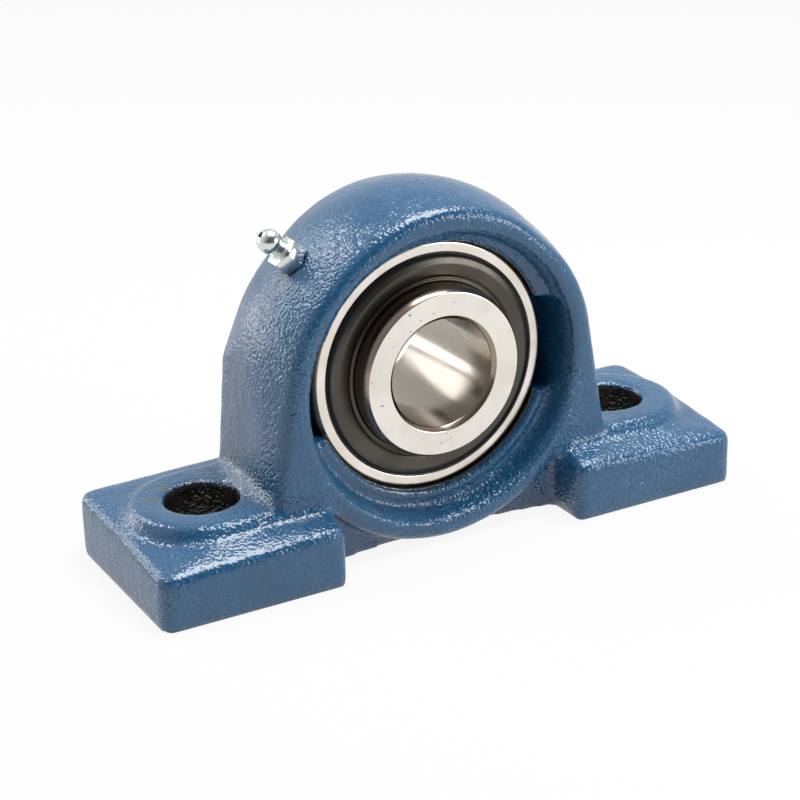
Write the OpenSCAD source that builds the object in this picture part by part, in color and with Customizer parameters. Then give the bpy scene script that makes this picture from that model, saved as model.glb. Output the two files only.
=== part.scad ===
// Pillow block bearing: a spherical insert bearing in a cast-iron foot-mounted housing.
// Millimetres, +Z up. The origin is the centre of the machined base, the shaft lies along Y,
// and the narrow side of the inner ring looks towards -Y.

/* [Casting] */
// Length of the base over both feet
base_len = 175; // [172:1:182]
// Depth of the feet, along the shaft
base_depth = 57; // [55:1:62]
// Height of the shaft above the base
axis_h = 47.6; // [47:0.1:49]
// Distance from the middle to the inner end of each foot
foot_inner = 35.3; // [33:0.1:37]
// Height of a foot at its front outer corner
foot_edge_h = 15; // [13:0.1:16]
// Height of a foot at its front inner corner
foot_inner_h = 16.8; // [15:0.1:17.4]
// Height of a foot at its rear outer corner
foot_rear_edge_h = 17.7; // [15:0.1:17.8]
// Height of a foot in the middle of its outer edge
foot_side_h = 17.2; // [16:0.1:17.8]
// Height of a foot at its rear inner corner
foot_rear_inner_h = 18.5; // [16:0.1:18.6]
// Highest part of a foot, beside the arch
foot_crest_h = 18.6; // [18:0.1:19]
// Radius of the vertical corners of the feet
foot_corner_r = 4; // [2:0.5:6]
// Radius along the top edges of the feet
foot_edge_r = 2.2; // [0.8:0.1:2.4]
// Half width of the waist between the feet, at its narrowest
waist_half = 11.6; // [10:0.1:14]

/* [Bolt slots] */
// Distance between the two bolt slots
bolt_spacing = 127; // [124:1:130]
// Width of a bolt slot
slot_w = 18.5; // [16:0.5:19]
// Length of a bolt slot, end to end
slot_len = 19.5; // [19:0.5:22]
// Height of the raised pad round a slot
pad_h = 21.4; // [20:0.1:23]
// Radius of the pad's crest
pad_r = 18.6; // [16:0.1:20]
// Radius of the pad's foot
pad_base_r = 21.2; // [18:0.1:22]

/* [Arch] */
// Height of the arch's top above the shaft
crown_r = 48.5; // [48:0.1:49]
// Fall of the crown from its middle to the front and rear faces
crown_drop = 2.8; // [1:0.1:3.2]
// Half width of the arch at the height of the shaft
arch_side = 49; // [48.4:0.1:49.6]
// Radius of the round boss below the shaft
boss_r = 48.2; // [47.4:0.1:48.4]
// Fall of the boss from its middle to the front and rear faces
boss_drop = 1.2; // [0.6:0.1:2]
// Depth of the arch, from face to face
arch_depth = 38.4; // [36:0.2:40]
// Corner radius between the arch and its faces
rim_corner_r = 3.2; // [1:0.1:3.4]
// Half width of the arch where it meets the feet
leg_half = 50.6; // [50:0.1:51.4]
// Distance of the cast dish below the machined seat's centre
dish_drop = 1.1; // [0:0.1:1.1]
// Radius at the mouth of the dish
dish_mouth_r = 39.8; // [39.5:0.1:41]
// Radius at the bottom of the dish
dish_floor_r = 38.6; // [38.5:0.1:39]
// Depth from the middle to the bottom of the dish
dish_floor_y = 12; // [11.6:0.1:12.4]
// Nose radius of the lip that ends the seat
lip_r = 1.1; // [0.8:0.1:1.3]
// Radius of the two loading slots
load_slot_r = 39.3; // [38.8:0.1:39.5]
// Width of the two loading slots
load_slot_w = 26.2; // [22:0.2:28]

/* [Insert bearing] */
// Outside diameter of the spherical insert
insert_od = 72; // [72:1:72]
// Width of the outer ring
outer_w = 20; // [19:0.5:20]
// Shaft diameter
bore_d = 30; // [25:1:30]
// Outside diameter of the inner ring
inner_od = 47; // [46.5:0.5:47]
// Inner ring length on the narrow side, from the middle
inner_front = 17.5; // [17:0.1:19]
// Inner ring length on the clamping side, from the middle
inner_rear = 25.4; // [25:0.1:27]
// Ball diameter
ball_d = 11.112; // [11.112:0.001:11.112]
// Number of balls
ball_count = 9; // [9:1:9]
// Diameter of the circle through the ball centres
pitch_d = 53.5; // [53.5:0.1:53.5]

/* [Set screws] */
// Thread diameter of the set screws
screw_d = 8; // [6:1:8]
// Distance of the screws from the middle, along the shaft
screw_y = 18.4; // [18:0.1:19]
// Angle between the two set screws
screw_angle = 120; // [60:5:120]

/* [Grease nipple] */
// Lean of the nipple from upright, to the left
nipple_lean = 46; // [40:1:55]
// Distance from the shaft to the nipple's spot face
nipple_seat = 47.2; // [46.8:0.1:47.6]
// Hexagon across its flats
nipple_hex = 8; // [7:0.5:8]
// Diameter of the nipple's ball head
nipple_head_d = 6.5; // [6:0.1:6.7]

/* [Hidden] */
$fn = 48;

// Running gap between parts that move on each other
gap = 0.06;
// Overcut that takes a tool past a face
past = 1;

blue = "#3f6c9c";
ground_steel = "#d9d4cb";
ring_steel = "#b9b2a6";
dark_steel = "#4a4742";
rubber_grey = "#5a5550";
zinc = "#c9ccc9";
cage_steel = "#a9a59b";

arch_half = arch_depth / 2;
insert_r = insert_od / 2;
seat_r = insert_r + gap;
seat_half = outer_w / 2 + 0.5;
ball_r = ball_d / 2;
pitch_r = pitch_d / 2;
inner_r = inner_od / 2;
bore_r = bore_d / 2;
ring_half = outer_w / 2;

// The raceways are slightly rounder than the balls
race_r = ball_r + 0.2;
outer_race_r = pitch_r + ball_r + gap - race_r;
inner_race_r = pitch_r - ball_r - gap + race_r;
outer_land_r = 30;

// Seal and flinger, measured from the bearing's middle along the shaft
counterbore_r = 31.2;
seal_groove_r = 31.9;
seal_groove_in = 7.2;
seal_groove_out = 8.6;
seal_face = 9.3;
flinger_edge_r = 29;
flinger_nose = 11.8;

ball_step = 360 / ball_count;

// Points of an arc about c, from angle a0 to angle a1
function arc(c, r, a0, a1, n = 8) =
    [for (i = [0 : n]) let (a = a0 + (a1 - a0) * i / n) [c.x + r * cos(a), c.y + r * sin(a)]];

// Points of a profile mirrored across the bearing's middle plane
function mirrored(pts) = [for (i = [len(pts) - 1 : -1 : 0]) [pts[i].x, -pts[i].y]];

// Turns a profile about the shaft: its x is the radius and its y is the distance along the shaft
module about_shaft() translate([0, 0, axis_h]) rotate([-90, 0, 0]) rotate_extrude($fn = 96) children();

// Places children on the insert, at an angle from upright and at a distance along the shaft
module at_angle(a, y = 0) translate([0, y, axis_h]) rotate([0, a, 0]) children();

// Mirrors children from the front to the rear
module both_faces() {
    children();
    mirror([0, 1, 0]) children();
}

// Mirrors children from the left to the right
module both_feet() {
    children();
    mirror([1, 0, 0]) children();
}

// Half profile of a crowned drum: its radius falls towards the face and ends in a round corner
crown_flat = arch_half - rim_corner_r;
function crown_half(r, drop) = let (rim = r - drop) concat(
    [for (i = [0 : 4]) let (t = i / 4) [r - drop * t * t, crown_flat * t]],
    arc([rim - rim_corner_r, crown_flat], rim_corner_r, 20, 90, 4));

module drum(r, drop, steps = 96) {
    half = crown_half(r, drop);
    rotate([-90, 0, 0]) rotate_extrude($fn = steps) polygon(concat([[0, -arch_half]], mirrored(half),
        [for (i = [1 : len(half) - 1]) half[i]], [[0, arch_half]]));
}

// Arch above the shaft, a little wider than it is high, drawn down into two legs.
// Its rear shoulders are fuller than its front ones.
module arch_body() {
    top_r = 44.1;
    side_r = 43.3;
    shoulder_half = 48;
    shoulder_z = axis_h + 1;
    corner = 3;
    hull() {
        intersection() {
            translate([0, 0, axis_h]) union() {
                translate([0, 0, crown_r - top_r]) drum(top_r, crown_drop, 72);
                for (s = [-1, 1]) translate([s * (arch_side - side_r), 0, 0]) drum(side_r, crown_drop, 72);
            }
            translate([-base_len / 2, -arch_half, axis_h]) cube([base_len, arch_depth, base_len]);
        }
        for (x = [-1, 1]) {
            for (y = [-1, 1])
                translate([x * (leg_half - corner), y * (arch_half - corner), foot_inner_h - 0.4])
                    cylinder(r = corner, h = 7, $fn = 32);
            translate([x * (shoulder_half - corner), arch_half - corner, shoulder_z])
                cylinder(r = corner, h = 3, $fn = 32);
        }
    }
}

// Round boss that carries the rim on below the shaft
module lower_boss() {
    boss_top = axis_h - 16;
    intersection() {
        translate([0, 0, axis_h]) drum(boss_r, boss_drop);
        translate([-base_len / 2, -arch_half - past, 0]) cube([base_len, arch_depth + 2 * past, boss_top]);
    }
}

// One foot, highest beside the arch, lower at its outer edge and lowest in front
module foot() {
    outer = base_len / 2 - foot_corner_r;
    half = base_depth / 2;
    crest_half = arch_half + 0.3;
    inner_r = 3;
    inner = foot_inner + inner_r;
    hull() {
        translate([outer, foot_corner_r - half, 0]) post(foot_corner_r, foot_edge_h);
        translate([outer, 0, 0]) post(foot_corner_r, foot_side_h);
        translate([outer, half - foot_corner_r, 0]) post(foot_corner_r, foot_rear_edge_h);
        translate([inner, inner_r - half, 0]) post(inner_r, foot_inner_h);
        translate([inner, half - inner_r, 0]) post(inner_r, foot_rear_inner_h);
        translate([foot_inner + 2, -crest_half, 0])
            cube([bolt_spacing / 2 - foot_inner, 2 * crest_half, foot_crest_h]);
    }
}

// Upright corner of a foot, rounded along its top edge
module post(r, h) {
    cylinder(r = r, h = h - foot_edge_r, $fn = 32);
    for (a = [30, 60, 90])
        cylinder(r = r - foot_edge_r * (1 - cos(a)), h = h - foot_edge_r * (1 - sin(a)), $fn = 32);
}

// Raised pad round one bolt slot, running into the leg
module pad() {
    bottom = foot_edge_h - 2;
    round_h = 1;
    hull() {
        translate([bolt_spacing / 2, 0, bottom]) {
            cylinder(r1 = pad_base_r + 1.6, r2 = pad_r + 0.5, h = pad_h - round_h - bottom, $fn = 64);
            cylinder(r = pad_r - 0.6, h = pad_h - bottom, $fn = 64);
        }
        translate([foot_inner + 8, -pad_r + 0.6, bottom]) cube([4, 2 * pad_r - 1.2, pad_h - bottom]);
    }
}

// Slab between the feet, waisted by two large arcs
module waist() {
    waist_arc_r = 170;
    linear_extrude(foot_inner_h) difference() {
        square([2 * foot_inner + 8, arch_depth - 2], center = true);
        for (y = [-1, 1]) translate([0, y * (waist_half + waist_arc_r)]) circle(r = waist_arc_r, $fn = 128);
    }
}

// Hollow corner along X between the floor z = 0 and the wall y = 0, fading out at both ends
module hollow_corner(length, r) {
    fade_r = 3 * r;
    dip = 0.1;
    root = 0.6;
    difference() {
        rotate([90, 0, 90]) linear_extrude(length, center = true) difference() {
            translate([-r, -root]) square([r + root, r + root]);
            translate([-r, r]) circle(r = r);
        }
        for (s = [-1, 1]) translate([s * length / 2, past, fade_r - dip]) rotate([90, 0, 0])
            cylinder(r = fade_r, h = r + 2 * past, $fn = 96);
    }
}

// Fillets at the foot of one leg: two along the faces of the arch and one along the leg's flank
module leg_fillets() {
    face_run = leg_half - foot_inner - 3;
    both_faces() translate([foot_inner + 2 + face_run / 2, -arch_half, foot_crest_h - 0.3])
        hollow_corner(face_run, 1.5);
    translate([leg_half - 0.4, 0, pad_h]) rotate([0, 0, 90]) hollow_corner(arch_depth - 1.6, 5);
}

// Air inside one face of the arch: the cast dish, less the lip, and the way in to the seat
module dish_air() {
    mouth_r = 1.3;
    floor_r = 1.2;
    nose_x = 36.2;
    way_r = nose_x - lip_r;
    way_in = seat_half - 1.4;
    difference() {
        translate([0, 0, -dish_drop]) about_shaft() polygon(concat(
            [[0, arch_half + past], [dish_mouth_r + mouth_r, arch_half + past]],
            arc([dish_mouth_r + mouth_r, arch_half - mouth_r], mouth_r, 90, 170, 5),
            arc([dish_floor_r - floor_r, dish_floor_y + floor_r], floor_r, -10, -80, 4),
            [[0, dish_floor_y]]));
        about_shaft() polygon(concat([[nose_x + lip_r, way_in]],
            arc([nose_x, dish_floor_y + 1 - lip_r], lip_r, 0, 180, 9), [[way_r, way_in]]));
    }
    about_shaft() polygon([[way_r, dish_floor_y + 1 - lip_r], [0, dish_floor_y + 1 - lip_r], [0, way_in],
        [way_r - 1.9, way_in], [way_r - 0.4, seat_half]]);
}

// Casting, machined base, spherical seat and the nipple's tapped hole
module housing() {
    color(blue) difference() {
        union() {
            arch_body();
            lower_boss();
            waist();
            both_feet() {
                foot();
                pad();
                leg_fillets();
            }
        }
        both_faces() dish_air();
        translate([0, 0, axis_h]) sphere(r = seat_r, $fn = 96);
        both_feet() bolt_slot();
        loading_slots();
        at_angle(-nipple_lean) nipple_hole();
    }
}

module bolt_slot() {
    straight = slot_len - slot_w;
    translate([bolt_spacing / 2, 0, -past]) linear_extrude(pad_h + 2 * past) union() {
        for (x = [-1, 1]) translate([x * straight / 2, 0]) circle(d = slot_w);
        square([straight, slot_w], center = true);
    }
}

// Two pockets beside the seat that let the insert in edgewise, from the front
module loading_slots() {
    intersection() {
        translate([0, 0, axis_h]) rotate([90, 0, 0]) cylinder(r = load_slot_r, h = arch_half + past, $fn = 96);
        translate([-base_len / 2, -arch_half - past, axis_h - load_slot_w / 2])
            cube([base_len, arch_half + 2 * past, load_slot_w]);
    }
}

// Drilled and spot-faced hole for the nipple
module nipple_hole() {
    translate([0, 0, nipple_seat - 7]) cylinder(r = 3 + gap / 2, h = 12);
    translate([0, 0, insert_r - 2]) cylinder(r = 1.6, h = 8);
    translate([0, 0, nipple_seat]) cylinder(r = nipple_hex / sqrt(3) + 0.4, h = 6);
}

// Outer ring: spherical outside, one deep raceway, and a seal groove at each end
module outer_ring() {
    face_r = 33.85;
    color(ground_steel) difference() {
        about_shaft() difference() {
            intersection() {
                circle(r = insert_r, $fn = 180);
                polygon([[outer_land_r - 1, -ring_half], [face_r, -ring_half],
                    [insert_r + 1, -ring_half + 1.9], [insert_r + 1, ring_half - 1.9],
                    [face_r, ring_half], [outer_land_r - 1, ring_half]]);
            }
            square([2 * outer_land_r, outer_w + 2 * past], center = true);
            translate([outer_race_r, 0]) circle(r = race_r, $fn = 96);
            for (s = [-1, 1]) {
                translate([0, s * (seal_groove_in + seal_groove_out) / 2])
                    square([2 * seal_groove_r, seal_groove_out - seal_groove_in], center = true);
                translate([0, s * (ring_half + seal_groove_out) / 2 + s * past / 2])
                    square([2 * counterbore_r, ring_half - seal_groove_out + past], center = true);
            }
            translate([insert_r, 6]) circle(r = 1, $fn = 24);
        }
        for (a = [-nipple_lean, 180 - nipple_lean])
            at_angle(a, 6) translate([0, 0, outer_land_r - 2]) cylinder(r = 0.9, h = 8);
    }
}

// Inner ring: ground bore, one raceway, two tapped holes in its long end
module inner_ring() {
    bore_chamfer = 1.2;
    face_chamfer = 1.1;
    color(ground_steel) difference() {
        about_shaft() difference() {
            polygon([[bore_r, -inner_front + bore_chamfer], [bore_r + bore_chamfer, -inner_front],
                [inner_r - face_chamfer, -inner_front], [inner_r, -inner_front + 1.6],
                [inner_r, inner_rear - 1.6], [inner_r - face_chamfer, inner_rear],
                [bore_r + bore_chamfer, inner_rear], [bore_r, inner_rear - bore_chamfer]]);
            translate([inner_race_r, 0]) circle(r = race_r, $fn = 96);
        }
        for (a = [-screw_angle / 2, screw_angle / 2])
            at_angle(a, screw_y) translate([0, 0, bore_r - 2]) cylinder(r = screw_d / 2 + gap, h = 14);
    }
}

module ball(i) {
    color(ground_steel) at_angle(i * ball_step) translate([0, 0, pitch_r]) sphere(r = ball_r);
}

// One pressed half of the ribbon cage, on the front side: nine cups joined by a flat web
cage_sheet = 0.7;
cage_half_w = 1.9;

module cage_half() {
    split = 0.03;
    pocket_r = ball_r + 0.09;
    web_front = split + cage_sheet;
    difference() {
        intersection() {
            union() {
                for (i = [1 : ball_count])
                    at_angle(i * ball_step) translate([0, 0, pitch_r]) sphere(r = pocket_r + cage_sheet);
                translate([0, 1, axis_h]) rotate([90, 0, 0])
                    cylinder(r = pitch_r + 4, h = 1 + web_front, $fn = 96);
            }
            about_shaft() translate([pitch_r - cage_half_w, -ball_r - 2])
                square([2 * cage_half_w, ball_r + 2 - split]);
        }
        for (i = [1 : ball_count]) {
            at_angle(i * ball_step) translate([0, 0, pitch_r]) sphere(r = pocket_r);
            at_angle((i + 0.5) * ball_step) translate([0, 2, pitch_r]) rotate([90, 0, 0])
                cylinder(r = 0.65, h = 6, $fn = 24);
        }
    }
}

module cage_front() { color(cage_steel) cage_half(); }

module cage_rear() { color(cage_steel) mirror([0, 1, 0]) cage_half(); }

// Rivets between the pockets, with a flat head on each side
module cage_rivets() {
    grip = cage_sheet + 0.06;
    head_h = 0.5;
    color(ring_steel) for (i = [1 : ball_count])
        at_angle((i + 0.5) * ball_step) translate([0, 0, pitch_r]) rotate([90, 0, 0]) {
            translate([0, 0, -grip - 0.1]) cylinder(r = 0.6, h = 2 * grip + 0.2, $fn = 24);
            for (s = [0, 1]) mirror([0, 0, s]) translate([0, 0, grip])
                cylinder(r = 1.1, h = head_h, $fn = 24);
        }
}

// Seal on the rear side: bead in the ring's groove, flat web and a lip on the inner ring
seal_profile = let (web_in = seal_face - 0.9, lip_end = inner_r + 0.12) [
    [seal_groove_r - 0.05, seal_groove_in + 0.05], [seal_groove_r - 0.05, seal_groove_out - 0.05],
    [counterbore_r - 0.1, seal_groove_out], [counterbore_r - 0.1, seal_face],
    [26, seal_face], [lip_end + 0.5, seal_face - 0.1], [lip_end, seal_face - 0.4],
    [lip_end + 0.4, web_in - 0.6], [25, web_in], [30.6, web_in], [31, seal_groove_in + 0.05]];

// Flinger on the rear side: a shallow pressed cup that grips the inner ring and turns with it
flinger_profile = let (hub_r = inner_r + 0.03, t = 0.8) concat(
    [[hub_r, seal_face + 0.35], [hub_r, 11.1], [hub_r + 0.5, 11.3], [hub_r + 1.2, 10.75]],
    arc([flinger_edge_r - 1, flinger_nose - 1], 1, 100, 0, 5),
    [[flinger_edge_r, seal_face + 0.35], [flinger_edge_r - 0.7, seal_face + 0.35],
     [flinger_edge_r - 0.9, flinger_nose - 1.1], [hub_r + 1.4, 10.75 - t], [hub_r + 1, seal_face + 0.35]]);

module seal_rear() { color(rubber_grey) about_shaft() polygon(seal_profile); }

module seal_front() { mirror([0, 1, 0]) seal_rear(); }

module flinger_rear() { color(dark_steel) about_shaft() polygon(flinger_profile); }

module flinger_front() { mirror([0, 1, 0]) flinger_rear(); }

// Set screw with a hexagon socket and a cup point, its point level with the bore
module set_screw(a) {
    length = 8;
    point = bore_r + 0.25;
    cup = 1;
    color(dark_steel) at_angle(a, screw_y) translate([0, 0, point]) difference() {
        union() {
            cylinder(r1 = screw_d / 2 - 1.2, r2 = screw_d / 2, h = 1.2);
            translate([0, 0, 1.2]) cylinder(r = screw_d / 2, h = length - 1.2);
        }
        translate([0, 0, length - 4]) cylinder(r = 4 / sqrt(3), h = 4 + past, $fn = 6);
        translate([0, 0, -0.01]) cylinder(r1 = 1.9, r2 = 0.6, h = cup);
    }
}

// Grease nipple: shank, hexagon, neck and ball head, bored for its check ball and spring
hex_h = 4.8;
head_z = 9.2;
chamber_r = 1.35;
chamber_top = 9.4;
mouth_r = 0.8;

module nipple_body() {
    head_r = nipple_head_d / 2;
    color(zinc) at_angle(-nipple_lean) translate([0, 0, nipple_seat]) difference() {
        union() {
            translate([0, 0, -6]) cylinder(r = 3, h = 6);
            intersection() {
                cylinder(r = nipple_hex / sqrt(3), h = hex_h, $fn = 6);
                cylinder(r1 = nipple_hex / 2 + 4.5, r2 = nipple_hex / 2 - 0.2, h = hex_h + 0.2);
            }
            rotate_extrude() polygon(concat(
                [[0, hex_h - 1], [2.9, hex_h - 1], [2.9, hex_h], [2.2, hex_h + 0.7]],
                arc([0, head_z], head_r, -38, 52, 8), [[0, head_z + head_r * sin(52)]]));
        }
        rotate_extrude() polygon([[0, -7], [0.9, -7], [0.9, 1.5], [chamber_r, 1.5],
            [chamber_r, chamber_top], [mouth_r, chamber_top + 0.8], [mouth_r, 13], [0, 13]]);
    }
}

// Check ball that shuts the nipple from inside
check_r = 1.15;
check_z = chamber_top - 0.35;

module nipple_ball() {
    color(ground_steel) at_angle(-nipple_lean) translate([0, 0, nipple_seat + check_z]) sphere(r = check_r);
}

// Coil spring behind the check ball, as rings of wire joined into one column
module nipple_spring() {
    wire = 0.22;
    turns = 7;
    low = 1.5 + wire;
    high = check_z - check_r - wire - 0.05;
    coil_r = chamber_r - wire - 0.15;
    color(ring_steel) at_angle(-nipple_lean) translate([0, 0, nipple_seat]) {
        for (i = [0 : turns - 1]) translate([0, 0, low + (high - low) * i / (turns - 1)])
            rotate_extrude() translate([coil_r, 0]) circle(r = wire, $fn = 16);
        for (a = [0, 180]) rotate([0, 0, a]) translate([coil_r, 0, low])
            cylinder(r = wire * 0.7, h = high - low, $fn = 16);
    }
}

housing();
outer_ring();
inner_ring();
for (i = [1 : ball_count]) ball(i);
cage_front();
cage_rear();
cage_rivets();
seal_front();
seal_rear();
flinger_front();
flinger_rear();
set_screw(-screw_angle / 2);  // set_screw_1
set_screw(screw_angle / 2);  // set_screw_2
nipple_body();
nipple_ball();
nipple_spring();
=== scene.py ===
# %% [markdown]
# # A pillow block bearing
# The object is a foot-mounted bearing: a steel ball bearing insert in a cast-iron housing.
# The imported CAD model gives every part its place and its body, and this script gives each
# part the shape and the finish that it has when it comes out of the foundry, the grinding
# shop and the press.

# %% Load the frame
import bpy, bmesh, math
from mathutils import Matrix, Vector, noise


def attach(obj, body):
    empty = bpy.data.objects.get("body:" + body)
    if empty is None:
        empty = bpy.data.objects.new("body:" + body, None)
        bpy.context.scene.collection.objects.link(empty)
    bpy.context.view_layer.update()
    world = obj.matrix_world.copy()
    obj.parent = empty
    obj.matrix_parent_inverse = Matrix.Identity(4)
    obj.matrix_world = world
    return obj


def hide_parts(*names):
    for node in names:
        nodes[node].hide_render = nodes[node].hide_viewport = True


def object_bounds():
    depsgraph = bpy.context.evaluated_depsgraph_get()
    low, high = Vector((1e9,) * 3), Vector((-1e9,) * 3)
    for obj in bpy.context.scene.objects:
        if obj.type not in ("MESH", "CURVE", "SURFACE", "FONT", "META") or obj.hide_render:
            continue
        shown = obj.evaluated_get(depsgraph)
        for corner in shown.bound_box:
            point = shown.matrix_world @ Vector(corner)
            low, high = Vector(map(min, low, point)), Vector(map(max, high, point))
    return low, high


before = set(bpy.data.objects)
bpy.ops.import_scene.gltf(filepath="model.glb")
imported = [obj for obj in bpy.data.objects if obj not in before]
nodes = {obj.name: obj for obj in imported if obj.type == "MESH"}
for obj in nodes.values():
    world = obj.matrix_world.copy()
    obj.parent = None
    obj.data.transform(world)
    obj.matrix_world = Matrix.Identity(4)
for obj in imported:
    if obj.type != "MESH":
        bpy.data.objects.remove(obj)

cad_box = [list(corner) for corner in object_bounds()]
MM = 0.001
print("CAD box in mm:", [[round(v / MM, 1) for v in corner] for corner in cad_box])


def add_object(name, data):
    made = bpy.data.objects.new(name, data)
    bpy.context.scene.collection.objects.link(made)
    return made

# %% [markdown]
# ## The camera
# The view was worked out from the ellipses of the two bearing rings and the straight edges
# of the base. A camera's matrix holds its right, up and backward directions, so it is
# written from those three, and the lens follows from the sensor width.

# %% Camera
AZIMUTH, ELEVATION, ROLL = map(math.radians, (-28.688, 22.655, -1.431))
DISTANCE, RIGHTWARD, UPWARD = 593.86 * MM, -3.669 * MM, 8.458 * MM
AIM = Vector((0, 0, 25 * MM))
SENSOR_MM, LENS_MM = 36, 98.154
back = Vector((math.sin(AZIMUTH) * math.cos(ELEVATION), -math.cos(AZIMUTH) * math.cos(ELEVATION),
               math.sin(ELEVATION)))
level = Vector((0, 0, 1)).cross(back).normalized()
upright = back.cross(level)
right = level * math.cos(ROLL) + upright * math.sin(ROLL)
up = upright * math.cos(ROLL) - level * math.sin(ROLL)
place = AIM + back * DISTANCE + right * RIGHTWARD + up * UPWARD
camera = add_object("camera", bpy.data.cameras.new("camera"))
camera.matrix_world = Matrix((right, up, back)).transposed().to_4x4()
camera.location = place
camera.data.sensor_width, camera.data.lens = SENSOR_MM, LENS_MM
bpy.context.scene.camera = camera
print("camera at", [round(v, 3) for v in place])

# %% [markdown]
# ## Helpers for materials
# Colours are written as the sRGB values that a paint chart would give, and turned to the
# linear values that the renderer works in. One function adds a node, sets it and links it.
# A mask is a value of 0 or 1 with a soft edge, and most masks here come from a distance.

# %% Helpers for materials
def linear(hex_code):
    parts = [int(hex_code[i:i + 2], 16) / 255 for i in (1, 3, 5)]
    return tuple(c / 12.92 if c <= 0.04045 else ((c + 0.055) / 1.055) ** 2.4 for c in parts) + (1.0,)


def add_node(material, kind, settings=None, **links):
    tree = material.node_tree
    made = tree.nodes.new("ShaderNode" + kind)
    for key, value in (settings or {}).items():
        if isinstance(key, int) or key in made.inputs:
            made.inputs[key].default_value = value
        else:
            setattr(made, key, value)
    for key, source in links.items():
        socket = int(key[1:]) if key[1:].isdigit() else key.replace("_", " ")
        tree.links.new(source, made.inputs[socket])
    return made


def new_material(name):
    material = bpy.data.materials.new(name)
    material.use_nodes = True
    material.node_tree.nodes.clear()
    return material


def close_material(material, shader):
    output = add_node(material, "OutputMaterial")
    material.node_tree.links.new(shader.outputs[0], output.inputs["Surface"])
    print("material", material.name)


def ramp(material, factor, stops):
    made = add_node(material, "ValToRGB", _0=factor)
    made.color_ramp.elements[0].position, made.color_ramp.elements[0].color = stops[0]
    made.color_ramp.elements[1].position, made.color_ramp.elements[1].color = stops[-1]
    for position, colour in stops[1:-1]:
        made.color_ramp.elements.new(position).color = colour
    return made.outputs["Color"]


def mask_below(material, value, limit, soft):
    made = add_node(material, "MapRange", {"From Min": limit + soft, "From Max": limit - soft},
                    Value=value)
    return made.outputs["Result"]


def blend_colours(material, share, low, high):
    made = add_node(material, "Mix", {"data_type": "RGBA"}, _0=share)
    for place_in, colour in ((6, low), (7, high)):
        if isinstance(colour, tuple):
            made.inputs[place_in].default_value = colour
        else:
            material.node_tree.links.new(colour, made.inputs[place_in])
    return made.outputs[2]

# %% [markdown]
# ## Blue enamel over sand-cast iron
# The housing is poured in a sand mould, so its skin is a field of rounded grains a little
# under a millimetre across. Enamel is sprayed over it and dries glossy, so each grain mirrors
# a lamp as a small glint. The relief is a bump from cells and from a noise of the grain's own
# size, on broader lumps, and it is stronger in some patches than in others, as the mould's
# sand is. The blue is darker in the hollows between the grains. Relief finer than a pixel
# would only dull the gloss, so the grain has no finer octaves. Bare iron shows where the
# casting is machined, in the spherical seat and under the base. The cast bolt slots are
# near-black: bare iron darkened with painted shade of the deep holes. Those places are found
# by their distance from the seat's centre and from the slots' axes.

# %% Enamel: the grain of the casting
GRAIN_SCALE, LUMP_SCALE, PATCH_SCALE = 1250, 230, 45
RELIEF_DEPTH = 0.24 * MM
enamel = new_material("enamel_on_sand_casting")
where = add_node(enamel, "TexCoord").outputs["Object"]
cells = add_node(enamel, "TexVoronoi", {"feature": "SMOOTH_F1", "Scale": GRAIN_SCALE, "Smoothness": 0.7,
                                        "Randomness": 1.0}, Vector=where)
grain = add_node(enamel, "TexNoise", {"Scale": GRAIN_SCALE, "Detail": 0.0, "Roughness": 0.5}, Vector=where)
lumps = add_node(enamel, "TexNoise", {"Scale": LUMP_SCALE, "Detail": 1.0, "Roughness": 0.5}, Vector=where)
patches = add_node(enamel, "TexNoise", {"Scale": PATCH_SCALE, "Detail": 4.0, "Roughness": 0.6},
                   Vector=where)
grains = add_node(enamel, "Math", {"operation": "MULTIPLY_ADD", 1: -0.9}, _0=cells.outputs["Distance"],
                  _2=grain.outputs["Fac"])
strength = add_node(enamel, "MapRange", {"From Min": 0.35, "From Max": 0.65, "To Min": 0.25, "To Max": 1.1},
                    Value=patches.outputs["Fac"])
rough_grain = add_node(enamel, "Math", {"operation": "MULTIPLY"}, _0=grains.outputs[0],
                       _1=strength.outputs["Result"])
relief = add_node(enamel, "Math", {"operation": "MULTIPLY_ADD", 1: 0.7}, _0=lumps.outputs["Fac"],
                  _2=rough_grain.outputs[0])
bump = add_node(enamel, "Bump", {"Strength": 1.0, "Distance": RELIEF_DEPTH}, Height=relief.outputs[0])
print("grain cells of", 1 / GRAIN_SCALE / MM, "mm")

# %% Enamel: the blue and its wear
AXIS_H, SLOT_X = 47.6 * MM, 63.5 * MM
SEAT_CENTRE = Vector((0, 0, AXIS_H))
blue = ramp(enamel, patches.outputs["Fac"],
            [(0.3, linear("#1a557c")), (0.5, linear("#205e87")), (0.72, linear("#286994"))])
# The blue is darker in the hollows between the grains.
grain_hollows = mask_below(enamel, grains.outputs[0], 0.05, 0.25)
blue = blend_colours(enamel, grain_hollows, blue, linear("#1b5079"))
STAINS = [(-75.9, 4.8, 21.4, 2.2, "#3a5659"), (-70.8, 10.2, 21.4, 1.8, "#40585a"),
          (-73.5, -3.8, 21.4, 2.0, "#3a5355"), (-50, 10.3, 24.1, 1.2, "#3f6f74"),
          (-50, -18, 41.6, 1.2, "#3f6f74")]
for x, y, z, size, colour in STAINS:
    near = add_node(enamel, "VectorMath", {"operation": "DISTANCE", 1: (x * MM, y * MM, z * MM)}, _0=where)
    ragged = add_node(enamel, "Math", {"operation": "MULTIPLY_ADD", 1: 6 * MM}, _0=lumps.outputs["Fac"],
                      _2=near.outputs["Value"])
    stain = mask_below(enamel, ragged.outputs[0], (size + 3) * MM, 0.8 * MM)
    blue = blend_colours(enamel, stain, blue, linear(colour))
print("blue enamel with", len(STAINS), "stains")
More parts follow.
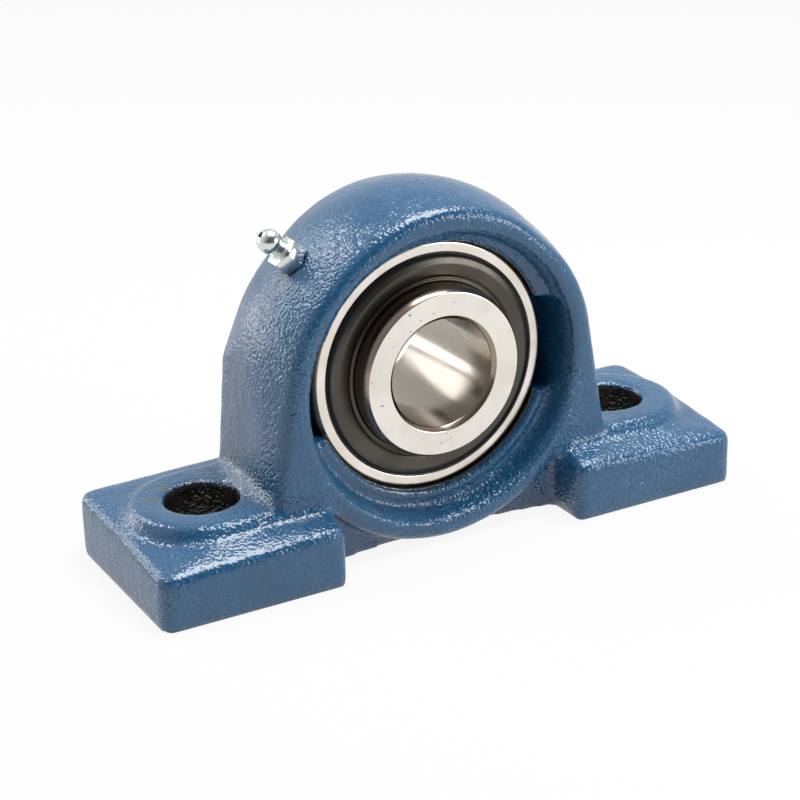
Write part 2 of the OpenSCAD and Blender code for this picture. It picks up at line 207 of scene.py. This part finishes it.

# %% Enamel: where the iron is bare, and the bolt slots with painted shade
split = add_node(enamel, "SeparateXYZ", _0=where)
from_seat = add_node(enamel, "VectorMath", {"operation": "DISTANCE", 1: tuple(SEAT_CENTRE)}, _0=where)
in_seat = mask_below(enamel, from_seat.outputs["Value"], 36.3 * MM, 0.05 * MM)
across = add_node(enamel, "Math", {"operation": "ABSOLUTE"}, _0=split.outputs["X"])
slot_side = add_node(enamel, "CombineXYZ", X=across.outputs[0], Y=split.outputs["Y"])
from_slot = add_node(enamel, "VectorMath", {"operation": "DISTANCE", 1: (SLOT_X, 0, 0)},
                     _0=slot_side.outputs["Vector"])
in_shaded_slot = mask_below(enamel, from_slot.outputs["Value"], 9.9 * MM, 0.15 * MM)
under = mask_below(enamel, split.outputs["Z"], 0.15 * MM, 0.08 * MM)
bare = add_node(enamel, "Math", {"operation": "MAXIMUM"}, _0=in_seat, _1=under)
# The bolt slots are near-black: bare iron darkened with painted shade of the deep holes.
slot_wall = add_node(enamel, "TexNoise", {"Scale": 300, "Detail": 4.0}, Vector=where)
slot_iron_and_shade = ramp(enamel, slot_wall.outputs["Fac"], [(0.35, linear("#1f1a16")), (0.65, linear("#38302a"))])
paint = add_node(enamel, "BsdfPrincipled", {"Roughness": 0.19, "IOR": 1.65},
                 Base_Color=blend_colours(enamel, in_shaded_slot, blue, slot_iron_and_shade), Normal=bump.outputs["Normal"])
machined = add_node(enamel, "BsdfPrincipled", {"Base Color": linear("#8f8b85"), "Metallic": 1.0,
                                               "Roughness": 0.34})
close_material(enamel, add_node(enamel, "MixShader", {}, _0=bare.outputs[0], _1=paint.outputs[0],
                                _2=machined.outputs[0]))

# %% [markdown]
# ## Steels
# The rings are bearing steel, hardened and then ground where they have to be true: a ground
# face is bright and warm, and a chamfer that was only turned keeps the brown of the
# hardening fire. The flingers are pressed steel with a dark phosphate skin, and the nipple
# is zinc plated. Each keeps a metal's default IOR. Grinding leaves fine rings round the
# shaft, so the fine relief reads the distance from the shaft and the distance along it.
# Handling leaves a few pits and dull patches, which are drawn with two noises.

# %% Steels
def lathe_place(material, here):
    centred = add_node(material, "VectorMath", {"operation": "SUBTRACT", 1: tuple(SEAT_CENTRE)}, _0=here)
    flat = add_node(material, "VectorMath", {"operation": "MULTIPLY", 1: (1, 0, 1)}, _0=centred.outputs[0])
    length = add_node(material, "VectorMath", {"operation": "LENGTH"}, _0=flat.outputs[0])
    along = add_node(material, "SeparateXYZ", _0=here).outputs["Y"]
    return length.outputs["Value"], along


def turned_steel(name, colour, dull, roughness, ring_mm=0.35, depth_mm=0.003, zones=()):
    made = new_material(name)
    here = add_node(made, "TexCoord").outputs["Object"]
    radius, along = lathe_place(made, here)
    lathe = add_node(made, "CombineXYZ", X=radius, Y=along)
    rings = add_node(made, "TexNoise", {"Scale": 1 / (ring_mm * MM), "Detail": 3.0, "Roughness": 0.6},
                     Vector=lathe.outputs[0])
    haze = add_node(made, "TexNoise", {"Scale": 90, "Detail": 3.0, "Roughness": 0.5}, Vector=here)
    tone = ramp(made, haze.outputs["Fac"], [(0.35, linear(dull)), (0.6, linear(colour))])
    for limit, brown, is_inside in zones:
        share = is_inside(made, radius, along, limit)
        tone = blend_colours(made, share, tone, linear(brown))
    pits = add_node(made, "TexNoise", {"Scale": 900, "Detail": 2.0, "Roughness": 0.5}, Vector=here)
    in_pit = mask_below(made, pits.outputs["Fac"], 0.27, 0.02)
    tone = blend_colours(made, in_pit, tone, linear("#6b6058"))
    gloss = add_node(made, "MapRange", {"From Min": 0.35, "From Max": 0.6, "To Min": roughness + 0.06,
                                        "To Max": roughness}, Value=haze.outputs["Fac"])
    cut = add_node(made, "Bump", {"Strength": 1.0, "Distance": depth_mm * MM}, Height=rings.outputs["Fac"])
    close_material(made, add_node(made, "BsdfPrincipled", {"Metallic": 1.0}, Base_Color=tone,
                                  Roughness=gloss.outputs["Result"], Normal=cut.outputs["Normal"]))
    return made


def in_shaded_bore(material, radius, along, limit):
    return mask_below(material, radius, limit * MM, 0.03 * MM)


def off_the_faces(material, radius, along, limit):
    """Everything between the two end faces and outside the bore: turned, not ground."""
    deep = add_node(material, "Math", {"operation": "ABSOLUTE"}, _0=along)
    inside = mask_below(material, deep.outputs[0], limit * MM, 0.03 * MM)
    bore = mask_below(material, radius, 15.1 * MM, 0.03 * MM)
    share = add_node(material, "Math", {"operation": "SUBTRACT", "use_clamp": True}, _0=inside, _1=bore)
    return share.outputs[0]


ring_steel = turned_steel("ground_bearing_steel", "#ece6de", "#ddd5cb", 0.2,
                          zones=[(9.9, "#8d8176", off_the_faces)])
# The bore is a darker copy of the same ground steel: painted shade of the deep bore.
bore_steel = turned_steel("ground_inner_ring_steel", "#ece7df", "#e2dcd3", 0.17,
                          zones=[(17.4, "#9a8b7c", off_the_faces), (15.12, "#a09a90", in_shaded_bore)])
dark_pressed = turned_steel("phosphated_pressed_steel", "#57554e", "#4f4c46", 0.3, ring_mm=0.8,
                            depth_mm=0.002)
plain_pressed = turned_steel("plain_pressed_steel", "#a8a49c", "#989389", 0.35)
black_steel = turned_steel("black_oxide_steel", "#353433", "#2a2928", 0.38, depth_mm=0.002)
ball_steel = turned_steel("polished_ball_steel", "#dcdcda", "#d6d6d3", 0.07, depth_mm=0.0002)
wire_steel = turned_steel("drawn_spring_wire", "#a9a9a6", "#969693", 0.3, depth_mm=0.001)
zinc = turned_steel("bright_zinc_plate", "#dfe2e0", "#d2d8d7", 0.17, ring_mm=1.5, depth_mm=0.006)

# %% [markdown]
# ## Seal rubber
# The seals are moulded nitrile rubber on a steel washer: matt, grey with fine dust, and
# covered with the texture of the spark-eroded mould, about a third of a millimetre across.

# %% Seal rubber
rubber = new_material("moulded_nitrile_rubber")
rubber_at = add_node(rubber, "TexCoord").outputs["Object"]
texture = add_node(rubber, "TexNoise", {"Scale": 2600, "Detail": 3.0, "Roughness": 0.6},
                   Vector=rubber_at)
dust = add_node(rubber, "TexNoise", {"Scale": 500, "Detail": 4.0, "Roughness": 0.65}, Vector=rubber_at)
grey = ramp(rubber, dust.outputs["Fac"], [(0.35, linear("#757168")), (0.65, linear("#827d73"))])
mould = add_node(rubber, "Bump", {"Strength": 1.0, "Distance": 0.06 * MM}, Height=texture.outputs["Fac"])
close_material(rubber, add_node(rubber, "BsdfPrincipled", {"Roughness": 0.5}, Base_Color=grey,
                                Normal=mould.outputs["Normal"]))

# %% [markdown]
# ## Helpers for shapes
# Most parts of a bearing are turned, so each is a closed profile spun about the shaft. A
# profile is drawn as a lathe operator reads it: a pair is a corner at a radius and at a
# distance along the shaft, and a pair with a swing is an arc round a centre, which the spin
# operator draws from the last corner. The corners are then broken with a small radius.

# %% Helpers for shapes
def only_verts(geometry):
    return [part for part in geometry if isinstance(part, bmesh.types.BMVert)]


def draw_profile(form, path):
    first = previous = None
    for step in path:
        if isinstance(step[0], tuple):
            (centre_r, centre_y), degrees, segments = step
            swing = bmesh.ops.spin(form, geom=[previous], cent=(0, centre_y * MM, AXIS_H + centre_r * MM),
                                   axis=(1, 0, 0), angle=math.radians(degrees), steps=segments,
                                   use_duplicate=False)
            previous = only_verts(swing["geom_last"])[0]
        else:
            corner = form.verts.new((0, step[1] * MM, AXIS_H + step[0] * MM))
            if previous:
                form.edges.new((previous, corner))
            previous = corner
            first = first or corner
    form.edges.new((previous, first))


def break_corners(form, radius, sharper_than=20):
    corners = []
    for vert in form.verts:
        one, two = [(edge.other_vert(vert).co - vert.co).normalized() for edge in vert.link_edges]
        if math.degrees((-one).angle(two)) > sharper_than:
            corners.append(vert)
    bmesh.ops.bevel(form, geom=corners, offset=radius * MM, offset_type="OFFSET", segments=3, profile=0.5,
                    affect="VERTICES", clamp_overlap=True, material=-1)
    return len(corners)


def turn(form, steps=192):
    bmesh.ops.spin(form, geom=form.verts[:] + form.edges[:], cent=(0, 0, AXIS_H), axis=(0, 1, 0),
                   angle=math.tau, steps=steps, use_merge=True, use_duplicate=False)
    bmesh.ops.remove_doubles(form, verts=form.verts, dist=0.0005 * MM)
    bmesh.ops.recalc_face_normals(form, faces=form.faces)


def make_piece(form, name, finish, body, slot, *stands_for):
    mesh = bpy.data.meshes.new(name)
    form.to_mesh(mesh)
    form.free()
    mesh.materials.append(finish)
    mesh.shade_smooth()
    mesh.set_sharp_from_angle(angle=math.radians(35))
    made = add_object(name, mesh)
    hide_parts(*stands_for)
    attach(made, body)
    print(name, "has", len(mesh.polygons), "faces and rides on", body)
    return made


def cut_away(made, cutters):
    for cutter in cutters:
        tool_mesh = bpy.data.meshes.new("cutter")
        cutter.to_mesh(tool_mesh)
        cutter.free()
        tool = add_object("cutter", tool_mesh)
        hole = made.modifiers.new("hole", "BOOLEAN")
        hole.operation, hole.solver, hole.object = "DIFFERENCE", "EXACT", tool
        depsgraph = bpy.context.evaluated_depsgraph_get()
        cut = bpy.data.meshes.new_from_object(made.evaluated_get(depsgraph))
        made.modifiers.clear()
        made.data = cut
        bpy.data.objects.remove(tool)
    print(made.name, "has", len(made.data.polygons), "faces after", len(cutters), "cuts")


def tilted(degrees, radius, y=0.0):
    """A place at an angle from upright, with its own Z pointing away from the shaft."""
    return (Matrix.Translation((0, y * MM, AXIS_H)) @ Matrix.Rotation(math.radians(degrees), 4, "Y")
            @ Matrix.Translation((0, 0, radius * MM)))

# %% [markdown]
# ## The casting
# The housing could be modelled face by face, but a sand casting has no sharp edge anywhere:
# its edges are blunt, its corners are filled and its faces are slightly uneven. So a copy
# of the CAD solid is turned into an even grid of small faces with the Remesh modifier, and
# smoothing the grid rounds each edge and fills each corner as a mould does. Then the seat,
# which is bored after casting, is set back on its sphere and the machined base on its plane.
# A slow noise sinks the rest of the skin by about a tenth of a millimetre and lifts it
# nowhere, so the casting stays inside the CAD model's box.

# %% The casting: an even skin
VOXEL = 0.9 * MM
casting_mesh = nodes["housing"].data.copy()
form = bmesh.new()
form.from_mesh(casting_mesh)
bmesh.ops.remove_doubles(form, verts=form.verts, dist=0.001 * MM)
form.to_mesh(casting_mesh)
form.free()
source = add_object("casting_source", casting_mesh)
grid = source.modifiers.new("even_grid", "REMESH")
grid.mode, grid.voxel_size, grid.use_smooth_shade = "VOXEL", VOXEL, True
even = bpy.data.meshes.new_from_object(source.evaluated_get(bpy.context.evaluated_depsgraph_get()))
bpy.data.objects.remove(source)
print("even skin of", len(even.polygons), "faces")

# %% The casting: blunt edges, a true seat and a flat base
SEAT_R, SEAT_HALF, SLOT_HALF = 36.08 * MM, 10.5 * MM, 13 * MM
SMOOTHINGS, LUMP_SIZE, LUMP_DEPTH_MM = 6, 4.5 * MM, 0.12
form = bmesh.new()
form.from_mesh(even)
base_ring = [v for v in form.verts if v.co.z < 0.3 * MM]
for _ in range(SMOOTHINGS):
    bmesh.ops.smooth_vert(form, verts=form.verts, factor=0.5, use_axis_x=True, use_axis_y=True,
                          use_axis_z=True)
form.normal_update()
low, high = Vector(cad_box[0]), Vector(cad_box[1])
on_seat = 0
for v in form.verts:
    outwards = v.co - SEAT_CENTRE
    if outwards.length < SEAT_R + 0.4 * MM and abs(outwards.y) < SEAT_HALF:
        v.co = SEAT_CENTRE + outwards.normalized() * SEAT_R
        on_seat += 1
    elif outwards.length > SEAT_R + 1.5 * MM:
        v.co -= v.normal * (0.5 + 0.5 * noise.noise(v.co / LUMP_SIZE)) * LUMP_DEPTH_MM * MM
    if outwards.length < SEAT_R and abs(outwards.y) < SLOT_HALF:
        v.co = SEAT_CENTRE + outwards.normalized() * SEAT_R
    v.co = Vector([min(max(v.co[i], low[i]), high[i]) for i in range(3)])
for v in base_ring:
    v.co.z = 0
print(on_seat, "points on the seat")
casting = make_piece(form, "housing_casting", enamel, "housing", "blue_enamel", "housing")
for face in casting.data.polygons:
    face.use_smooth = True

# %% [markdown]
# ## The outer ring
# The outer ring is a sphere on the outside, so that it can swivel in the seat, and a deep
# groove for the balls on the inside. The whole profile is one closed line: the sphere, the
# ground faces, the seal grooves and the raceway. Two small grease holes lead from a groove
# round the sphere to the balls, and they are cut with the Boolean modifier.

# %% The outer ring
SPHERE_R, SPHERE_END, GROOVE_START = 36, 9.2, 5.0
RACE_SWING, RACE_HALF = 107.84, 4.652
GREASE_ANGLE = -46
form = bmesh.new()
half_ball = math.degrees(math.asin(SPHERE_END / SPHERE_R))
groove_edge = math.degrees(math.asin(GROOVE_START / SPHERE_R))
draw_profile(form, [
    (33.6, -10), (34.8, -SPHERE_END), ((0, 0), -half_ball - groove_edge, 16), (34.7, 5.6), (34.7, 6.4),
    (35.31, 7.0), (34.8, SPHERE_END), (33.6, 10), (31.2, 10), (31.2, 8.6), (31.9, 8.6), (31.9, 7.2),
    (30, 7.2), (30, RACE_HALF), ((26.61, 0), RACE_SWING, 24), (30, -7.2), (31.9, -7.2), (31.9, -8.6),
    (31.2, -8.6), (31.2, -10)])
print("outer ring corners broken:", break_corners(form, 0.25))
turn(form)
outer_ring = make_piece(form, "outer_ring_turned", ring_steel, "insert", "ground_steel", "outer_ring")
drills = []
for angle in (GREASE_ANGLE, GREASE_ANGLE + 180):
    drill = bmesh.new()
    bmesh.ops.create_cone(drill, cap_ends=True, segments=24, radius1=0.9 * MM, radius2=0.9 * MM,
                          depth=8 * MM, matrix=tilted(angle, 33, 6))
    drills.append(drill)
cut_away(outer_ring, drills)

# %% [markdown]
# ## The inner ring
# The inner ring is longer than the outer one, and its long end carries two set screws that
# hold it to the shaft. Its ends have a wide chamfer at the bore, so that a shaft finds its
# way in, and a narrow one outside. The screw holes are drilled and countersunk.

# %% The inner ring
SCREW_ANGLES, SCREW_Y = (-60, 60), 18.4
form = bmesh.new()
draw_profile(form, [
    (15, -16.3), (16.2, -17.5), (22.4, -17.5), (23.5, -15.9), (23.5, -RACE_HALF),
    ((26.89, 0), RACE_SWING, 24), (23.5, 23.8), (22.4, 25.4), (16.2, 25.4), (15, 24.2)])
print("inner ring corners broken:", break_corners(form, 0.18))
turn(form)
inner_ring = make_piece(form, "inner_ring_turned", bore_steel, "inner", "ground_steel", "inner_ring")
drills = []
for angle in SCREW_ANGLES:
    drill = bmesh.new()
    bmesh.ops.create_cone(drill, cap_ends=True, segments=48, radius1=4.06 * MM, radius2=4.06 * MM,
                          depth=12 * MM, matrix=tilted(angle, 19, SCREW_Y))
    drills.append(drill)
    countersink = bmesh.new()
    bmesh.ops.create_cone(countersink, cap_ends=True, segments=48, radius1=4.0 * MM, radius2=5.2 * MM,
                          depth=1.2 * MM, matrix=tilted(angle, 23.4, SCREW_Y))
    drills.append(countersink)
cut_away(inner_ring, drills)

# %% [markdown]
# ## Seals and flingers
# A seal stands still in the outer ring's groove and its lip rubs on the inner ring. The
# flinger outside it is a shallow pressed dish that turns with the inner ring and throws off
# dirt. It reaches nearly to the outer ring, so it hides most of the seal. Both are thin, so
# a profile with small radii shows best that one is moulded and the other is bent from
# sheet. The rear ones are the front ones seen in a mirror.

# %% Seals and flingers
for side, name in ((-1, "front"), (1, "rear")):
    form = bmesh.new()
    draw_profile(form, [(r, side * y) for r, y in (
        (31.85, 7.25), (31.85, 8.55), (31.1, 8.6), (31.1, 9.3), (26, 9.3), (24.12, 9.2), (23.62, 8.9),
        (24.02, 7.8), (25, 8.4), (30.6, 8.4), (31, 7.25))])
    break_corners(form, 0.12)
    turn(form)
    make_piece(form, "seal_" + name + "_moulded", rubber, "insert", "seal_rubber", "seal_" + name)
    form = bmesh.new()
    draw_profile(form, [(r, side * y) for r, y in (
        (23.53, 9.65), (23.53, 11.1), (24.03, 11.3), (24.6, 10.8), (25.4, 11.3), (28.4, 11.75), (30.1, 11.1),
        (30.9, 10.3), (30.9, 9.65), (30.3, 9.65), (30, 10.1), (28.2, 10.9), (25.2, 10.4), (24.53, 9.65))])
    break_corners(form, 0.25)
    turn(form)
    make_piece(form, "flinger_" + name + "_pressed", dark_pressed, "inner", "dark_steel", "flinger_" + name)

# %% [markdown]
# ## Set screws
# Each set screw is a short threaded rod with a hexagon socket at one end and a cup point at
# the other, coated with black oxide. The rod is an extruded circle with its ends bevelled,
# and the socket and the cup are cut out of it.

# %% Set screws
SCREW_LONG = 8 * MM
for name, angle in zip(("set_screw_1", "set_screw_2"), SCREW_ANGLES):
    seat = tilted(angle, 15.25, SCREW_Y)
    form = bmesh.new()
    bmesh.ops.create_circle(form, cap_ends=True, segments=48, radius=4 * MM)
    rod = bmesh.ops.extrude_face_region(form, geom=form.faces[:])
    bmesh.ops.translate(form, verts=only_verts(rod["geom"]), vec=(0, 0, SCREW_LONG))
    bmesh.ops.recalc_face_normals(form, faces=form.faces)
    rims = [e for e in form.edges if abs(e.verts[0].co.z - e.verts[1].co.z) < 0.01 * MM]
    bmesh.ops.bevel(form, geom=rims, offset=0.7 * MM, segments=1, profile=0.5, affect="EDGES",
                    material=-1)
    bmesh.ops.transform(form, matrix=seat, verts=form.verts)
    screw = make_piece(form, name + "_turned", black_steel, name, "black_steel", name)
    socket, cup = bmesh.new(), bmesh.new()
    bmesh.ops.create_cone(socket, cap_ends=True, segments=6, radius1=2.31 * MM, radius2=2.31 * MM,
                          depth=8 * MM, matrix=seat @ Matrix.Translation((0, 0, SCREW_LONG)))
    bmesh.ops.create_cone(cup, cap_ends=True, segments=48, radius1=1.95 * MM, radius2=0.6 * MM,
                          depth=1.1 * MM, matrix=seat @ Matrix.Translation((0, 0, 0.5 * MM)))
    cut_away(screw, [socket, cup])

# %% [markdown]
# ## The grease nipple
# The nipple is turned from hexagon bar and zinc plated: a shank in the casting, a hexagon
# for the spanner with its corners turned off, a waist, and a round head that a grease gun
# grips. The hexagon is an extruded six-sided circle with its edges bevelled, and the rest is
# a profile spun about the nipple's own axis. The check ball shows in the mouth of the head.

# %% The nipple's hexagon and shank
ACROSS_FLATS, HEXAGON_LONG = 8 * MM, 4.8 * MM
nipple_place = tilted(GREASE_ANGLE, 47.2)
form = bmesh.new()
bmesh.ops.create_circle(form, cap_ends=True, segments=6, radius=ACROSS_FLATS / math.sqrt(3))
bar = bmesh.ops.extrude_face_region(form, geom=form.faces[:])
bmesh.ops.translate(form, verts=only_verts(bar["geom"]), vec=(0, 0, HEXAGON_LONG))
bmesh.ops.recalc_face_normals(form, faces=form.faces)
bmesh.ops.bevel(form, geom=form.edges[:], offset=0.22 * MM, segments=2, profile=0.5, affect="EDGES",
                material=-1)
print("nipple hexagon:", len(form.faces), "faces")


def spin_own_axis(form, path, steps):
    made_verts, made_edges = [], []
    for step in path:
        if isinstance(step[0], tuple):
            (centre_r, centre_z), degrees, segments = step
            swing = bmesh.ops.spin(form, geom=[made_verts[-1]], cent=(centre_r * MM, 0, centre_z * MM),
                                   axis=(0, -1, 0), angle=math.radians(degrees), steps=segments,
                                   use_duplicate=False)
            tip = only_verts(swing["geom_last"])[0]
            walk = made_verts[-1]
            while walk is not tip:
                edge = [e for e in walk.link_edges if e not in made_edges][0]
                made_edges.append(edge)
                walk = edge.other_vert(walk)
                made_verts.append(walk)
        else:
            made_verts.append(form.verts.new((step[0] * MM, 0, step[1] * MM)))
            if len(made_verts) > 1:
                made_edges.append(form.edges.new((made_verts[-2], made_verts[-1])))
    bmesh.ops.spin(form, geom=made_verts + made_edges, cent=(0, 0, 0), axis=(0, 0, 1), angle=math.tau,
                   steps=steps, use_merge=True, use_duplicate=False)


spin_own_axis(form, [(0, -6), (2.6, -6), (3, -5.6), (3, 0.3), (0, 0.3)], 48)

# %% The nipple's waist and head
HEAD_R, HEAD_Z, MOUTH_R = 3.25, 9.2, 0.8
waist_angle, mouth_angle = -38, math.degrees(math.acos(MOUTH_R / HEAD_R))
waist = math.radians(waist_angle)
arc_start = (HEAD_R * math.cos(waist), HEAD_Z + HEAD_R * math.sin(waist))
spin_own_axis(form, [(1.35, 4.3), (2.9, 4.3), (2.9, 4.9), (2.3, 5.45), arc_start,
                     ((0, HEAD_Z), mouth_angle - waist_angle, 14), (MOUTH_R, 10.2), (1.35, 9.4),
                     (1.35, 4.3)], 64)
bmesh.ops.remove_doubles(form, verts=form.verts, dist=0.0005 * MM)
bmesh.ops.recalc_face_normals(form, faces=form.faces)
bmesh.ops.transform(form, matrix=nipple_place, verts=form.verts)
make_piece(form, "nipple_turned", zinc, "housing", "zinc_plate", "nipple_body")

# %% [markdown]
# ## Balls, cage, rivets, check ball and spring
# These sit inside the bearing and inside the nipple, where the view doesn't reach. Their CAD
# solids are balls, pressed halves and rivets, which need no more than a finish. The spring is
# a stand-in for a coil: a column of wire rings joined by two thin bars.

# %% Finishes for the parts inside
inside = {"cage_front": plain_pressed, "cage_rear": plain_pressed, "cage_rivets": plain_pressed,
          "nipple_ball": ball_steel, "nipple_spring": wire_steel}
for name, node in nodes.items():
    finish = inside.get(name, ball_steel)
    if not node.data.materials:
        node.data.materials.append(finish)
    for slot in node.material_slots:
        slot.material = finish
print("finished", len(nodes), "CAD nodes")

# %% [markdown]
# ## Floor, light and background
# The part stands on a white floor that runs on without an edge, as in a product
# photographer's tent. The camera sees floor and room as white. Metal and gloss need
# something pale to mirror: they see the floor nearly white, and the room dark on the
# camera's side and pale behind the part. Both are dimmer for the light they give. A soft box
# above lights the upper faces. Gloss and metal also mirror a box and a low strip that stand
# behind on the left, and two smaller lamps, high on the left and near on the right, add
# glints to the grain.

# %% Floor
floor_mesh = bpy.data.meshes.new("floor")
form = bmesh.new()
bmesh.ops.create_grid(form, x_segments=1, y_segments=1, size=4.0)
form.to_mesh(floor_mesh)
form.free()
floor = add_object("floor", floor_mesh)
floor_white = new_material("white_paper")
seen = add_node(floor_white, "LightPath")
mirrored = add_node(floor_white, "Math", {"operation": "MAXIMUM"}, _0=seen.outputs["Is Camera Ray"],
                    _1=seen.outputs["Is Glossy Ray"])
matt = add_node(floor_white, "BsdfDiffuse", {"Color": linear("#dedede")})
bright = add_node(floor_white, "Emission", {"Color": (1, 1, 1, 1), "Strength": 1.0})
share = add_node(floor_white, "Math", {"operation": "MULTIPLY", 1: 0.9}, _0=mirrored.outputs[0])
close_material(floor_white, add_node(floor_white, "MixShader", {}, _0=share.outputs[0],
                                     _1=matt.outputs[0], _2=bright.outputs[0]))
floor_mesh.materials.append(floor_white)

# %% Room and lamps
world = bpy.data.worlds.new("room")
bpy.context.scene.world = world
world.use_nodes = True
world.node_tree.nodes.clear()
room_seen = add_node(world, "LightPath")
clear_seen = add_node(world, "Math", {"operation": "MAXIMUM"}, _0=room_seen.outputs["Is Camera Ray"],
                      _1=room_seen.outputs["Is Transmission Ray"])
towards = add_node(world, "SeparateXYZ", _0=add_node(world, "TexCoord").outputs["Generated"])
behind = add_node(world, "MapRange", {"From Min": -0.7, "From Max": 0.1, "To Min": 0.12, "To Max": 0.85},
                  Value=towards.outputs["Y"])
mirror_side = add_node(world, "Background", {"Color": (1, 1, 1, 1)}, Strength=behind.outputs["Result"])
soft_side = add_node(world, "Background", {"Color": (1, 1, 1, 1), "Strength": 0.1})
white = add_node(world, "Background", {"Color": (1, 1, 1, 1), "Strength": 1.0})
lit = add_node(world, "MixShader", {}, _0=room_seen.outputs["Is Glossy Ray"], _1=soft_side.outputs[0],
               _2=mirror_side.outputs[0])
mixed = add_node(world, "MixShader", {}, _0=clear_seen.outputs[0], _1=lit.outputs[0],
                 _2=white.outputs[0])
world_out = add_node(world, "OutputWorld")
world.node_tree.links.new(mixed.outputs[0], world_out.inputs["Surface"])


def soft_lamp(name, spot, aim, width, height, watts):
    data = bpy.data.lights.new(name, "AREA")
    data.shape, data.size, data.size_y, data.energy = "RECTANGLE", width, height, watts
    lamp = add_object(name, data)
    lamp.location = spot
    lamp.rotation_mode = "QUATERNION"
    lamp.rotation_quaternion = (Vector(aim) - Vector(spot)).to_track_quat("-Z", "Y")
    print("lamp", name, watts, "W")


soft_lamp("top_box", (0.2, -0.05, 0.8), (0, 0, 0.03), 0.48, 0.48, 7.0)
soft_lamp("back_left_box", (-0.45, 0.72, 0.5), (0, 0, 0.05), 0.5, 0.5, 2.0)
soft_lamp("low_left_strip", (-0.6, 0.75, 0.1), (0, 0, 0.05), 0.7, 0.18, 1.5)
soft_lamp("high_left_lamp", (-0.4, 0.42, 0.75), (0, 0, 0.05), 0.22, 0.22, 1.8)
soft_lamp("front_right_lamp", (0.4, -0.42, 0.2), (0, 0, 0.05), 0.3, 0.25, 1.3)
bpy.context.scene.view_settings.view_transform = "Standard"
